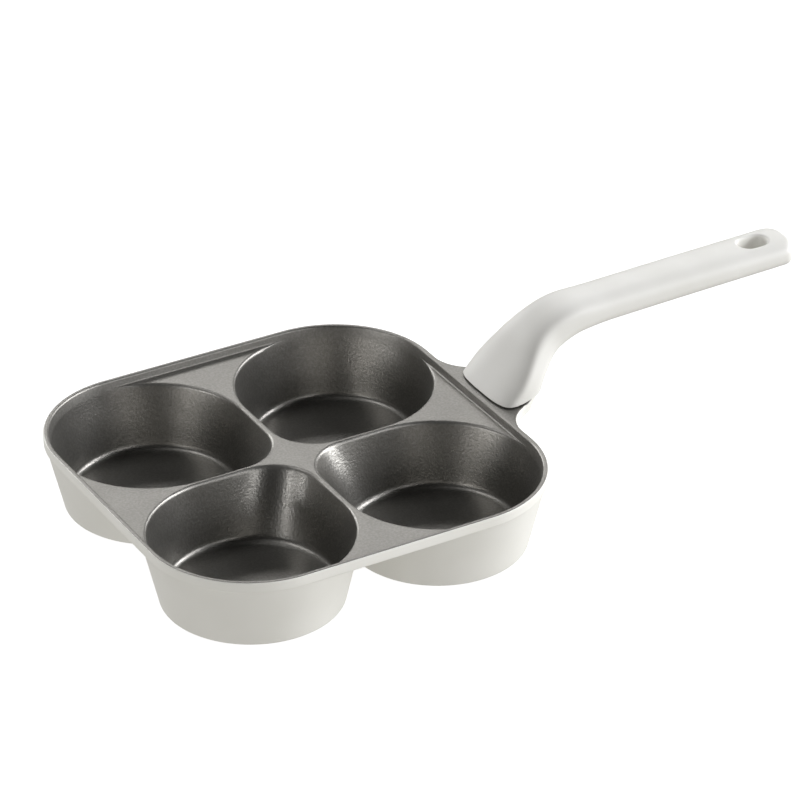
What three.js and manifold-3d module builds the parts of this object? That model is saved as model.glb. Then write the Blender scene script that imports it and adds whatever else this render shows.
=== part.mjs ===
// A four-cup egg pan: one die-cast pan with four cups, a moulded handle screwed on a cast tang,
// a gasket in the seam, and a steel disc under each cup.
// Millimetres, +Z up, handle along +X. The pan stands on z = 0.
import * as THREE from 'three';
import { mergeVertices } from 'three/addons/utils/BufferGeometryUtils.js';
import Module from 'manifold-3d';

const wasm = await Module();
wasm.setup();

// Rim and web
const RIM_HALF = 95; // half the width of the square rim
const RIM_TOP = 36.5; // height of the rim over the table
const RIM_BAND = 5.3; // height of the flange round the pan
const RIM_WIDTH = 2.3; // width of the rim's flat top
const RIM_EDGE = 0.8; // bevel on the rim's outer edge
const STEP_DEPTH = 3.7; // from the rim's top down to the web between the cups
const STEP_LEAN = 0.8; // how far the step's wall leans in on its way down
const WEB_THICKNESS = 2.8;

// Cups
const CUP_MARGIN = 3.8; // from the rim's outer side to the cups' mouths
const CUP_GAP = 2.4; // ridge between two neighbouring mouths
const CUP_TIP_RADIUS = 22; // corner of a mouth that points to the pan's middle
const CUP_DRAFT = 11.7; // lean of the cup walls, degrees
const CUP_WALL = 2.5;
const FLOOR_THICKNESS = 2.4;
const FLOOR_FILLET = 3;
const BASE_EDGE = 1.2; // bevel round the foot of a cup

// Base discs
const DISC_DIAMETER = 66;
const DISC_THICKNESS = 0.8;
const DISC_CLEARANCE = 0.3;

// Handle line: up from its seat on the lug, round a bend, then along the grip
const SEAT_REACH = 7.4; // from the rim's side to the handle's centre line, at the rim's height
const RISE_ANGLE = 47.6; // degrees
const RISE_LENGTH = 23;
const BEND_RADIUS = 37.5;
const GRIP_ANGLE = 1.6; // degrees
const GRIP_LENGTH = 115;

// Handle section: an oval with squared sides, higher or lower over and under the centre line
const FOOT_KEEP = 6; // length over which the foot keeps its size
const WAIST_AFTER_BEND = 15; // from the end of the bend to the waist
const FOOT_WIDTH = 41.4;
const BEND_WIDTH = 30;
const WAIST_WIDTH = 24;
const END_WIDTH = 25.8;
const FOOT_OVER = 5.6;
const BEND_OVER = 5.8;
const WAIST_OVER = 7.6;
const END_OVER = 6.2;
const FOOT_UNDER = 8.1;
const BEND_UNDER = 7;
const WAIST_UNDER = 6.7;
const END_UNDER = 6.3;
const FOOT_SQUARENESS = 3.2; // 2 is an ellipse, more is squarer
const GRIP_SQUARENESS = 2.7;
const END_ROUNDING = 12; // length over which the handle's end rounds off, seen from above
const END_SOFTENING = 2; // the same, seen from the side
const END_SWEEP = 83; // degrees of that rounding before the end is cut flat

// Hang hole
const HOLE_LENGTH = 15;
const HOLE_WIDTH = 10.6;
const HOLE_FROM_END = 17.2; // from the handle's end to the hole's middle

// Seat, lug, tang and gasket
const SEAT_FLAT = 9.8; // flat part of the seat, from the rim's side outwards
const SEAT_SLOPE = 14; // the seat's rise past that, degrees
const SEAM_HEIGHT = 0.8; // from the lug up to the handle's foot
const GASKET_THICKNESS = 0.4;
const GASKET_INSET = 0.6; // from the foot's outline in to the gasket's
const LUG_REACH = 19.9; // from the rim's side to the lug's end
const LUG_FILLET = 18.4; // corner between the lug and the rim, seen from above
const LUG_SHOULDER = 13.4; // from the rim's side to where that corner ends on the foot's outline
const LUG_INSET = 0.6; // from the foot's widest line in to that corner's end
const TANG_WIDTH = 22;
const TANG_THICKNESS = 5;
const TANG_REACH = 26.5; // from the seat up into the handle
const TANG_CLEARANCE = 0.3;

// Screw and washer
const SCREW_AT = 20.5; // from the seat along the tang
const SCREW_DIAMETER = 5;
const HEAD_DIAMETER = 8;
const HEAD_HEIGHT = 2.2;
const HEAD_FLAT = 5.4; // diameter of the flat on the head's dome
const TIP_BEVEL = 0.8;
const DRIVE_WIDTH = 1.2; // width of a slot of the head's cross
const DRIVE_LENGTH = 4.6;
const DRIVE_DEPTH = 1.3;
const WASHER_DIAMETER = 7.6;
const WASHER_THICKNESS = 1;
const WASHER_SPLIT = 0.8;
const SCREW_SEAT = 1.4; // handle wall between the tang and the washer
const SCREW_CLEARANCE = 0.3; // round the shank and the head
const STACK_GAP = 0.2; // between the handle, the washer and the head

// How finely the round shapes are cut into flats
const CUP_SIDES = 48;
const CORNER_SIDES = 14;
const SECTION_SIDES = 32;
const BEND_STEPS = 8;
const GRIP_STEPS = 5;
const END_STEPS = 5;
const SMALL_SIDES = 32;
const FILLET_STEPS = 4;

// Worked out from the sizes above
const degrees = THREE.MathUtils.degToRad;
const WEB_TOP = RIM_TOP - STEP_DEPTH;
const WEB_BOTTOM = WEB_TOP - WEB_THICKNESS;
const CUP_CENTRE = (RIM_HALF - CUP_MARGIN + CUP_GAP / 2) / 2;
const MOUTH_HALF = CUP_CENTRE - CUP_GAP / 2;
const FLOOR_RADIUS = MOUTH_HALF - (WEB_TOP - FLOOR_THICKNESS) * Math.tan(degrees(CUP_DRAFT));
const BASE_RADIUS = FLOOR_RADIUS + CUP_WALL - FLOOR_THICKNESS * Math.tan(degrees(CUP_DRAFT));
const BEND_LENGTH = BEND_RADIUS * degrees(RISE_ANGLE - GRIP_ANGLE);
const HANDLE_LENGTH = RISE_LENGTH + BEND_LENGTH + GRIP_LENGTH;
const RUN_OUT = 20; // how far a cutting shape runs past what it cuts
const STATIONS = [
  FOOT_KEEP,
  RISE_LENGTH + BEND_LENGTH / 2,
  RISE_LENGTH + BEND_LENGTH + WAIST_AFTER_BEND,
  HANDLE_LENGTH,
];

// Turns a closed geometry into a solid that can be joined and cut.
function solid(geometry) {
  const bare = geometry.clone();
  bare.deleteAttribute('normal');
  bare.deleteAttribute('uv');
  const merged = mergeVertices(bare, 1e-5);
  return new wasm.Manifold(new wasm.Mesh({
    numProp: 3,
    vertProperties: new Float32Array(merged.attributes.position.array),
    triVerts: new Uint32Array(merged.index.array),
  }));
}

// Turns a solid back into a geometry with flat faces.
function geometryOf(body) {
  const mesh = body.getMesh();
  const geometry = new THREE.BufferGeometry();
  geometry.setAttribute('position', new THREE.BufferAttribute(new Float32Array(mesh.vertProperties), 3));
  geometry.setIndex(new THREE.BufferAttribute(new Uint32Array(mesh.triVerts), 1));
  const flat = geometry.toNonIndexed();
  flat.computeVertexNormals();
  return flat;
}

// A closed skin over rings of points, each ring counter-clockwise seen from the last one.
function loft(rings) {
  const sides = rings[0].length;
  const points = rings.flat();
  const faces = [];
  for (let k = 0; k + 1 < rings.length; k += 1) {
    for (let i = 0; i < sides; i += 1) {
      const next = (i + 1) % sides;
      const low = k * sides;
      const high = low + sides;
      faces.push(low + i, low + next, high + next);
      faces.push(low + i, high + next, high + i);
    }
  }
  const middleOf = (ring) => ring.reduce((sum, p) => sum.add(p), new THREE.Vector3()).divideScalar(sides);
  const start = points.push(middleOf(rings[0])) - 1;
  const end = points.push(middleOf(rings[rings.length - 1])) - 1;
  const top = (rings.length - 1) * sides;
  for (let i = 0; i < sides; i += 1) {
    const next = (i + 1) % sides;
    faces.push(start, next, i);
    faces.push(end, top + i, top + next);
  }
  const geometry = new THREE.BufferGeometry().setFromPoints(points);
  geometry.setIndex(faces);
  return geometry;
}

// An outline in x and z, carried along y over a width that is centred on y = 0.
function acrossY(outline, width) {
  const shape = new THREE.Shape(outline.map(([x, z]) => new THREE.Vector2(x, z)));
  const geometry = new THREE.ExtrudeGeometry(shape, { depth: width, bevelEnabled: false });
  return geometry.rotateX(Math.PI / 2).translate(0, width / 2, 0);
}

// A smooth value at x through stations that never swings past them; level before the first one.
function through(xs, ys, x) {
  if (x <= xs[0]) {
    return ys[0];
  }
  const last = xs.length - 1;
  const rise = (i) => (ys[i + 1] - ys[i]) / (xs[i + 1] - xs[i]);
  const slope = (i) => {
    if (i === 0) {
      return 0;
    }
    if (i === last) {
      return rise(last - 1);
    }
    const product = rise(i - 1) * rise(i);
    return product <= 0 ? 0 : (2 * product) / (rise(i - 1) + rise(i));
  };
  const i = Math.min(last - 1, xs.findLastIndex((station) => station <= x));
  const step = xs[i + 1] - xs[i];
  const t = (x - xs[i]) / step;
  const from = ys[i] * (1 + 2 * t) * (1 - t) ** 2 + slope(i) * step * t * (1 - t) ** 2;
  return from + ys[i + 1] * t * t * (3 - 2 * t) - slope(i + 1) * step * t * t * (1 - t);
}

// A square outline with round corners about the outer cup centres, at one height.
function roundedSquare(half, z) {
  const middle = Math.min(CUP_CENTRE, half);
  const points = [];
  for (let corner = 0; corner < 4; corner += 1) {
    const first = (corner * Math.PI) / 2;
    const x = middle * Math.SQRT2 * Math.cos(first + Math.PI / 4);
    const y = middle * Math.SQRT2 * Math.sin(first + Math.PI / 4);
    for (let i = 0; i <= CORNER_SIDES; i += 1) {
      const turn = first + ((Math.PI / 2) * i) / CORNER_SIDES;
      const radius = half - middle;
      points.push(new THREE.Vector3(x + radius * Math.cos(turn), y + radius * Math.sin(turn), z));
    }
  }
  return points;
}

// Distance from a cup's centre to its mouth: a circle whose first quarter is a rounded square corner.
function mouthRadius(turn) {
  const c = Math.cos(turn);
  const s = Math.sin(turn);
  const side = MOUTH_HALF - CUP_TIP_RADIUS;
  if (c <= 0 || s <= 0) {
    return MOUTH_HALF;
  }
  if (MOUTH_HALF * Math.min(s / c, c / s) <= side) {
    return MOUTH_HALF / Math.max(c, s);
  }
  const along = side * (c + s);
  return along + Math.sqrt(along * along - 2 * side * side + CUP_TIP_RADIUS * CUP_TIP_RADIUS);
}

// One ring of a cup at a height; share runs from 0 at the round floor to 1 at the mouth.
function cupRing(floorRadius, share, grow, z) {
  const points = [];
  for (let i = 0; i < CUP_SIDES; i += 1) {
    const turn = (2 * Math.PI * i) / CUP_SIDES;
    const radius = THREE.MathUtils.lerp(floorRadius, mouthRadius(turn), share) + grow;
    points.push(new THREE.Vector3(
      radius * Math.cos(turn) - CUP_CENTRE,
      radius * Math.sin(turn) - CUP_CENTRE,
      z,
    ));
  }
  return points;
}

// The outside of one cup, up into the web.
function cupOutside() {
  const share = (WEB_BOTTOM + WEB_THICKNESS / 2) / WEB_TOP;
  const edgeShare = BASE_EDGE / WEB_TOP;
  return solid(loft([
    cupRing(BASE_RADIUS - CUP_WALL, 0, CUP_WALL - BASE_EDGE, 0),
    cupRing(BASE_RADIUS - CUP_WALL, edgeShare, CUP_WALL, BASE_EDGE),
    cupRing(BASE_RADIUS - CUP_WALL, share, CUP_WALL, WEB_BOTTOM + WEB_THICKNESS / 2),
  ]));
}

// The hollow of one cup, with the fillet between its floor and its wall, run out past the rim.
function cupHollow() {
  const depth = WEB_TOP - FLOOR_THICKNESS;
  const rings = [];
  for (let i = 0; i <= FILLET_STEPS; i += 1) {
    const t = i / FILLET_STEPS;
    const z = FLOOR_THICKNESS + FLOOR_FILLET * t * t;
    rings.push(cupRing(FLOOR_RADIUS, (FLOOR_FILLET * t * t) / depth, -FLOOR_FILLET * (1 - t) ** 2, z));
  }
  rings.push(cupRing(FLOOR_RADIUS, 1, 0, WEB_TOP));
  rings.push(cupRing(FLOOR_RADIUS, 1, 0, RIM_TOP + RUN_OUT));
  return solid(loft(rings));
}

// A point of the handle's centre line, with its direction as an angle, at a length from the seat.
function handleLine(length) {
  const rise = degrees(RISE_ANGLE);
  const grip = degrees(GRIP_ANGLE);
  const along = Math.min(length, RISE_LENGTH);
  const turned = THREE.MathUtils.clamp(length - RISE_LENGTH, 0, BEND_LENGTH) / BEND_RADIUS;
  const level = Math.max(0, length - RISE_LENGTH - BEND_LENGTH);
  const angle = rise - turned;
  const x = RIM_HALF + SEAT_REACH + along * Math.cos(rise)
    + BEND_RADIUS * (Math.sin(rise) - Math.sin(angle)) + level * Math.cos(grip);
  const z = RIM_TOP + along * Math.sin(rise)
    + BEND_RADIUS * (Math.cos(angle) - Math.cos(rise)) + level * Math.sin(grip);
  return { point: new THREE.Vector3(x, 0, z), angle };
}

// How much of its size the section keeps near the handle's end, falling off over a length.
function endShare(length, rounding) {
  const past = Math.max(0, length - (HANDLE_LENGTH - rounding)) / rounding;
  return (1 - past ** GRIP_SQUARENESS) ** (1 / GRIP_SQUARENESS);
}

// One ring of the handle's skin, drawn in by an inset.
function handleRing(length, inset) {
  const { point, angle } = handleLine(length);
  const width = through(STATIONS, [FOOT_WIDTH, BEND_WIDTH, WAIST_WIDTH, END_WIDTH], length) / 2;
  const over = through(STATIONS, [FOOT_OVER, BEND_OVER, WAIST_OVER, END_OVER], length);
  const under = through(STATIONS, [FOOT_UNDER, BEND_UNDER, WAIST_UNDER, END_UNDER], length);
  const power = 2 / through(
    STATIONS,
    [FOOT_SQUARENESS, (FOOT_SQUARENESS + GRIP_SQUARENESS) / 2, GRIP_SQUARENESS, GRIP_SQUARENESS],
    length,
  );
  const sideways = (width - inset) * endShare(length, END_ROUNDING);
  const thick = endShare(length, END_SOFTENING);
  const points = [];
  for (let i = 0; i < SECTION_SIDES; i += 1) {
    const turn = (2 * Math.PI * i) / SECTION_SIDES;
    const c = Math.cos(turn);
    const s = Math.sin(turn);
    const half = ((s > 0 ? over : under) - inset) * thick;
    const normal = half * Math.sign(s) * Math.abs(s) ** power;
    points.push(new THREE.Vector3(
      point.x - Math.sin(angle) * normal,
      sideways * Math.sign(c) * Math.abs(c) ** power,
      point.z + Math.cos(angle) * normal,
    ));
  }
  return points;
}

// The handle's whole outer form, run out below the seat; the seat cuts it afterwards.
function handleForm(inset) {
  const lengths = [-RUN_OUT, 0, FOOT_KEEP, (FOOT_KEEP + RISE_LENGTH) / 2, RISE_LENGTH];
  for (let i = 1; i <= BEND_STEPS; i += 1) {
    lengths.push(RISE_LENGTH + (BEND_LENGTH * i) / BEND_STEPS);
  }
  const gripStart = RISE_LENGTH + BEND_LENGTH;
  const gripEnd = HANDLE_LENGTH - END_ROUNDING;
  for (let i = 1; i <= GRIP_STEPS; i += 1) {
    lengths.push(gripStart + ((gripEnd - gripStart) * i) / GRIP_STEPS);
  }
  for (let i = 1; i <= END_STEPS; i += 1) {
    lengths.push(gripEnd + END_ROUNDING * Math.sin((degrees(END_SWEEP) * i) / END_STEPS));
  }
  return solid(loft(lengths.map((length) => handleRing(length, inset))));
}

// A layer that follows the seat: level next to the rim, then rising outwards. Heights are from the seat.
function seatLayer(from, end, low, high) {
  const bend = RIM_HALF + SEAT_FLAT;
  const climb = (end - bend) * Math.tan(degrees(SEAT_SLOPE));
  return solid(acrossY([
    [from, RIM_TOP + low],
    [bend, RIM_TOP + low],
    [end, RIM_TOP + climb + low],
    [end, RIM_TOP + climb + high],
    [bend, RIM_TOP + high],
    [from, RIM_TOP + high],
  ], 2 * RIM_HALF));
}

// A bar along the handle's rise, between two lengths from the seat.
function riseBar(from, to, width, thickness) {
  const bar = new THREE.BoxGeometry(to - from, width, thickness);
  bar.translate((from + to) / 2, 0, 0);
  bar.rotateY(-degrees(RISE_ANGLE));
  bar.translate(RIM_HALF + SEAT_REACH, 0, RIM_TOP);
  return solid(bar);
}

// Moves a shape made about the Y axis to the screw's axis; y is then the height over the tang's middle.
function onScrewAxis(geometry) {
  const { point, angle } = handleLine(SCREW_AT);
  return geometry.rotateX(Math.PI / 2).rotateY(-angle).translate(point.x, 0, point.z);
}

// A round bar on the screw's axis between two heights over the tang's middle.
function screwBar(radius, low, high) {
  const bar = new THREE.CylinderGeometry(radius, radius, high - low, SMALL_SIDES);
  return solid(onScrewAxis(bar.translate(0, (low + high) / 2, 0)));
}

// Lug: the handle's form carried on below the seat, with fillets to the rim, as thick as the flange.
function lug(form) {
  const inside = RIM_HALF - RIM_WIDTH / 2;
  const end = RIM_HALF + LUG_FILLET;
  const side = FOOT_WIDTH / 2 - LUG_INSET + LUG_FILLET;
  const stop = Math.acos(LUG_SHOULDER / LUG_FILLET - 1);
  const plan = new THREE.Shape();
  plan.moveTo(inside, -side);
  plan.lineTo(RIM_HALF, -side);
  plan.absarc(end, -side, LUG_FILLET, Math.PI, stop, true);
  plan.lineTo(RIM_HALF + LUG_SHOULDER, side - LUG_FILLET * Math.sin(stop));
  plan.absarc(end, side, LUG_FILLET, -stop, -Math.PI, true);
  plan.lineTo(inside, side);
  const prism = new THREE.ExtrudeGeometry(plan, {
    depth: RIM_TOP + RUN_OUT,
    bevelEnabled: false,
    curveSegments: CORNER_SIDES,
  });
  return form.add(solid(prism)).intersect(seatLayer(inside, RIM_HALF + LUG_REACH, -RIM_BAND, 0));
}

function panCasting(form) {
  const band = solid(loft([
    roundedSquare(RIM_HALF, RIM_TOP - RIM_BAND),
    roundedSquare(RIM_HALF, RIM_TOP - RIM_EDGE),
    roundedSquare(RIM_HALF - RIM_EDGE, RIM_TOP),
  ]));
  const web = solid(loft([
    roundedSquare(RIM_HALF - RIM_WIDTH / 2, WEB_BOTTOM),
    roundedSquare(RIM_HALF - RIM_WIDTH / 2, WEB_TOP),
  ]));
  const stepTop = RIM_HALF - RIM_WIDTH;
  const recess = solid(loft([
    roundedSquare(stepTop - STEP_LEAN, WEB_TOP),
    roundedSquare(stepTop, RIM_TOP),
    roundedSquare(stepTop, RIM_TOP + RUN_OUT),
  ]));
  let casting = band.add(web).subtract(recess).add(lug(form));
  casting = casting.add(riseBar(-TANG_THICKNESS / 2, TANG_REACH, TANG_WIDTH, TANG_THICKNESS));
  const quarters = [0, 90, 180, 270];
  const outside = cupOutside();
  quarters.forEach((turn) => {
    casting = casting.add(outside.rotate([0, 0, turn]));
  });
  const hollow = cupHollow();
  const discSeat = new THREE.CylinderGeometry(
    DISC_DIAMETER / 2 + DISC_CLEARANCE,
    DISC_DIAMETER / 2 + DISC_CLEARANCE,
    2 * DISC_THICKNESS,
    CUP_SIDES,
  );
  const seat = solid(discSeat.rotateX(Math.PI / 2).translate(-CUP_CENTRE, -CUP_CENTRE, 0));
  quarters.forEach((turn) => {
    casting = casting.subtract(hollow.rotate([0, 0, turn])).subtract(seat.rotate([0, 0, turn]));
  });
  return casting.subtract(screwBar(SCREW_DIAMETER / 2 + SCREW_CLEARANCE, -RUN_OUT, RUN_OUT));
}

function hangHole() {
  const half = (HOLE_LENGTH - HOLE_WIDTH) / 2;
  const slot = new THREE.Shape();
  slot.absarc(half, 0, HOLE_WIDTH / 2, -Math.PI / 2, Math.PI / 2, false);
  slot.absarc(-half, 0, HOLE_WIDTH / 2, Math.PI / 2, (3 * Math.PI) / 2, false);
  const { point, angle } = handleLine(HANDLE_LENGTH - HOLE_FROM_END);
  const cutter = new THREE.ExtrudeGeometry(slot, {
    depth: 2 * RUN_OUT,
    bevelEnabled: false,
    curveSegments: CORNER_SIDES,
  });
  return solid(cutter.translate(0, 0, -RUN_OUT).rotateY(-angle).translate(point.x, 0, point.z));
}

// The washer lies on this height, counted from the tang's middle along the screw's axis.
const WASHER_TOP = -(TANG_THICKNESS / 2 + TANG_CLEARANCE + SCREW_SEAT);

function handle(form) {
  const socket = riseBar(
    -RUN_OUT,
    TANG_REACH + TANG_CLEARANCE,
    TANG_WIDTH + 2 * TANG_CLEARANCE,
    TANG_THICKNESS + 2 * TANG_CLEARANCE,
  );
  const below = seatLayer(RIM_HALF - RUN_OUT, RIM_HALF + FOOT_WIDTH, -2 * RUN_OUT, SEAM_HEIGHT);
  const headRoom = Math.max(HEAD_DIAMETER, WASHER_DIAMETER) / 2 + SCREW_CLEARANCE;
  return form
    .subtract(below)
    .subtract(socket)
    .subtract(screwBar(SCREW_DIAMETER / 2 + SCREW_CLEARANCE, -RUN_OUT, 0))
    .subtract(screwBar(headRoom, -RUN_OUT, WASHER_TOP))
    .subtract(hangHole());
}

function gasket() {
  const low = (SEAM_HEIGHT - GASKET_THICKNESS) / 2;
  const hole = riseBar(
    -RUN_OUT,
    TANG_REACH,
    TANG_WIDTH + 2 * TANG_CLEARANCE,
    TANG_THICKNESS + 2 * TANG_CLEARANCE,
  );
  const layer = seatLayer(RIM_HALF - RUN_OUT, RIM_HALF + LUG_REACH, low, low + GASKET_THICKNESS);
  return handleForm(GASKET_INSET).intersect(layer).subtract(hole);
}

// Screw: shank to the tang's far side, domed head with a cross slot.
function screw() {
  const head = WASHER_TOP - WASHER_THICKNESS - 2 * STACK_GAP;
  const low = head - HEAD_HEIGHT;
  const tip = TANG_THICKNESS / 2;
  const profile = [
    [0, low],
    [HEAD_FLAT / 2, low],
    [HEAD_DIAMETER / 2, low + HEAD_HEIGHT / 2],
    [HEAD_DIAMETER / 2, head],
    [SCREW_DIAMETER / 2, head],
    [SCREW_DIAMETER / 2, tip - TIP_BEVEL],
    [SCREW_DIAMETER / 2 - TIP_BEVEL, tip],
    [0, tip],
  ].map(([r, y]) => new THREE.Vector2(r, y));
  let body = solid(onScrewAxis(new THREE.LatheGeometry(profile, SMALL_SIDES)));
  [0, Math.PI / 2].forEach((turn) => {
    const slot = new THREE.BoxGeometry(DRIVE_LENGTH, 2 * DRIVE_DEPTH, DRIVE_WIDTH);
    body = body.subtract(solid(onScrewAxis(slot.rotateY(turn).translate(0, low, 0))));
  });
  return body;
}

// Split ring under the screw's head.
function springWasher() {
  const high = WASHER_TOP - STACK_GAP;
  const low = high - WASHER_THICKNESS;
  const ring = screwBar(WASHER_DIAMETER / 2, low, high);
  const hole = screwBar(SCREW_DIAMETER / 2 + SCREW_CLEARANCE, low - RUN_OUT, high + RUN_OUT);
  const split = new THREE.BoxGeometry(WASHER_DIAMETER, 2 * WASHER_THICKNESS, WASHER_SPLIT);
  split.translate(WASHER_DIAMETER / 2, (low + high) / 2, 0);
  return ring.subtract(hole).subtract(solid(onScrewAxis(split)));
}

function baseDisc() {
  const radius = DISC_DIAMETER / 2;
  const disc = new THREE.CylinderGeometry(radius, radius, DISC_THICKNESS, CUP_SIDES);
  return solid(disc.rotateX(Math.PI / 2).translate(0, 0, DISC_THICKNESS / 2));
}

const group = new THREE.Group();

function addPiece(name, body, look, place = [0, 0, 0]) {
  const mesh = new THREE.Mesh(geometryOf(body), new THREE.MeshStandardMaterial(look));
  mesh.name = name;
  mesh.position.set(...place);
  group.add(mesh);
}

const LACQUER = { color: 0xeeebe2, roughness: 0.4, metalness: 0 };
const PHENOLIC = { color: 0xf0eee6, roughness: 0.45, metalness: 0 };
const SILICONE = { color: 0x2b2a28, roughness: 0.7, metalness: 0 };
const STEEL = { color: 0xb4b6b8, roughness: 0.35, metalness: 1 };

const form = handleForm(0);
addPiece('pan_casting', panCasting(form), LACQUER);
addPiece('handle', handle(form), PHENOLIC);
addPiece('handle_gasket', gasket(), SILICONE);
addPiece('handle_screw', screw(), STEEL);
addPiece('spring_washer', springWasher(), STEEL);
[['front', -1, -1], ['right', 1, -1], ['left', -1, 1], ['back', 1, 1]].forEach(([place, x, y]) => {
  addPiece(`base_disc_${place}`, baseDisc(), STEEL, [x * CUP_CENTRE, y * CUP_CENTRE, 0]);
});

// The origin is on the table, under the middle of the whole length.
group.position.x = -(handleLine(HANDLE_LENGTH).point.x - RIM_HALF) / 2;

export default group;
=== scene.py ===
# %% [markdown]
# The four-cup egg pan
#
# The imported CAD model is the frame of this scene: it fixes where every piece sits and how large it is.
# The looks are built around it, with curves and surfaces worked out in numpy, and with materials made of
# nodes.

# %% Load the frame
import math

import bmesh
import bpy
import numpy as np
from mathutils import Matrix, Vector


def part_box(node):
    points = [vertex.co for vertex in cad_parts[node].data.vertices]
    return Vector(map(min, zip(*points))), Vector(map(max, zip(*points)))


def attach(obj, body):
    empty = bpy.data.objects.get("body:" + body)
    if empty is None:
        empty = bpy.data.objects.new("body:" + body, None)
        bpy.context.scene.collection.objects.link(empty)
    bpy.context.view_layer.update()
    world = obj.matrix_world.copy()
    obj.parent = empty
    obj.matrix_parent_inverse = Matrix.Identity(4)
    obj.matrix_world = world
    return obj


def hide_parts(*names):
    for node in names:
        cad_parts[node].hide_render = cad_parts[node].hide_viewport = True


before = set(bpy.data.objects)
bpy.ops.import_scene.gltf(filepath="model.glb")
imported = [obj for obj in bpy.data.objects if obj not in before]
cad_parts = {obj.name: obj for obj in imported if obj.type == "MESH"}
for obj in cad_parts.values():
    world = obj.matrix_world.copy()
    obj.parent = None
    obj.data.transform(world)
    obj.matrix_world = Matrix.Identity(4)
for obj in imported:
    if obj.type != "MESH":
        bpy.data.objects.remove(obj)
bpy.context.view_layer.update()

print("CAD nodes:", sorted(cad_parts))

# %% [markdown]
# Everything below is worked out in millimetres from the middle of the square pan, because that is how
# the pan was measured. The frame gives the pan's half width, the middle of a cup and the pan's own
# place.

# %% Sizes that the frame gives
MM = 0.001
pan_low, pan_high = (np.array(corner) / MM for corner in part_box("pan_casting"))
disc_low, disc_high = (np.array(corner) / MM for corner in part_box("base_disc_back"))
HALF = (pan_high[1] - pan_low[1]) / 2
PAN_X = pan_low[0] + HALF
CUP_MID = (disc_low[1] + disc_high[1]) / 2
print(f"pan half width {HALF:.2f} mm, its middle at x {PAN_X:.2f} mm, cup middle {CUP_MID:.2f} mm")


def in_frame(points):
    """Points in millimetres from the pan's middle become points of the frame, in metres."""
    return (np.asarray(points, float) + np.array([PAN_X, 0.0, 0.0])) * MM


# %% [markdown]
# The camera stands where the photograph was taken from. Its angles, distance and focal length were
# fitted to the rim, the cups and the handle: a long lens, 30 degrees above the table. A lens shift could
# place the pan in the picture, but moving the camera sideways until the pan's middle falls on its pixel
# needs none.

# %% Camera
CAMERA_AZIMUTH = math.radians(-30.086)
CAMERA_ELEVATION = math.radians(30.132)
CAMERA_DISTANCE = 1887.6
FOCAL_PIXELS = 4232.3
IMAGE_SIZE = 800
PAN_MIDDLE_PIXEL = (294.92, 517.07)
SENSOR_WIDTH = 36.0
FAR_CLIP = 50.0

camera_back = np.array([
    math.sin(CAMERA_AZIMUTH) * math.cos(CAMERA_ELEVATION),
    -math.cos(CAMERA_AZIMUTH) * math.cos(CAMERA_ELEVATION),
    math.sin(CAMERA_ELEVATION),
])
camera_right = np.array([math.cos(CAMERA_AZIMUTH), math.sin(CAMERA_AZIMUTH), 0.0])
camera_up = np.cross(camera_back, camera_right)
pixel_size = CAMERA_DISTANCE / FOCAL_PIXELS
across = (PAN_MIDDLE_PIXEL[0] - IMAGE_SIZE / 2) * pixel_size
upwards = (IMAGE_SIZE / 2 - PAN_MIDDLE_PIXEL[1]) * pixel_size
eye = CAMERA_DISTANCE * camera_back - across * camera_right - upwards * camera_up

lens = bpy.data.cameras.new("photo_view")
lens.sensor_width = SENSOR_WIDTH
lens.lens = SENSOR_WIDTH * FOCAL_PIXELS / IMAGE_SIZE
lens.clip_end = FAR_CLIP
camera = bpy.data.objects.new("photo_view", lens)
pose = np.eye(4)
pose[:3, 0] = camera_right
pose[:3, 1] = camera_up
pose[:3, 2] = camera_back
pose[:3, 3] = in_frame(eye)
camera.matrix_world = Matrix(pose.tolist())
bpy.context.scene.collection.objects.link(camera)
bpy.context.scene.camera = camera
print(f"lens {lens.lens:.1f} mm, eye at {np.round(in_frame(eye), 3)} m")

# %% [markdown]
# A piece is a set of patches. A patch is a grid of points, rows by columns, worked out as one array, and
# carries the number of its material. The patches share the points along their borders, so once doubles
# are merged they make one closed skin; a row that shrinks to a point closes as a pole in the same way.

# %% Make a piece from patches
WELD = 2e-6
SHARP_ANGLE = math.radians(34)


def grid_quads(rows, columns, first):
    """Corner numbers of the quads of a rows by columns grid whose points start at number first."""
    corner = first + np.arange(rows - 1)[:, None] * columns + np.arange(columns - 1)[None, :]
    return np.stack([corner, corner + 1, corner + columns + 1, corner + columns], -1).reshape(-1, 4)


def make_piece(name, patches, materials, node):
    """Joins patches (grid, material number) to one mesh that stands for a CAD node and rides with it."""
    points = [in_frame(grid.reshape(-1, 3)) for grid, _ in patches]
    firsts = np.cumsum([0] + [len(p) for p in points])
    quads = [grid_quads(g.shape[0], g.shape[1], first) for (g, _), first in zip(patches, firsts)]
    mesh = bpy.data.meshes.new(name)
    mesh.from_pydata(np.concatenate(points).tolist(), [], np.concatenate(quads).tolist())
    numbers = np.concatenate([np.full(len(q), m) for q, (_, m) in zip(quads, patches)])
    mesh.polygons.foreach_set("material_index", numbers.astype(np.int32))
    for material in materials:
        mesh.materials.append(material)
    skin = bmesh.new()
    skin.from_mesh(mesh)
    bmesh.ops.remove_doubles(skin, verts=skin.verts, dist=WELD)
    bmesh.ops.dissolve_degenerate(skin, edges=skin.edges, dist=WELD)
    bmesh.ops.recalc_face_normals(skin, faces=skin.faces)
    open_edges = sum(1 for edge in skin.edges if not edge.is_manifold)
    skin.to_mesh(mesh)
    skin.free()
    mesh.shade_smooth()
    mesh.set_sharp_from_angle(angle=SHARP_ANGLE)
    piece = bpy.data.objects.new(name, mesh)
    bpy.context.scene.collection.objects.link(piece)
    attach(piece, "root")
    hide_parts(node)
    print(f"{name}: {len(mesh.vertices)} points, {len(mesh.polygons)} faces, {open_edges} open edges")
    return piece


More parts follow.
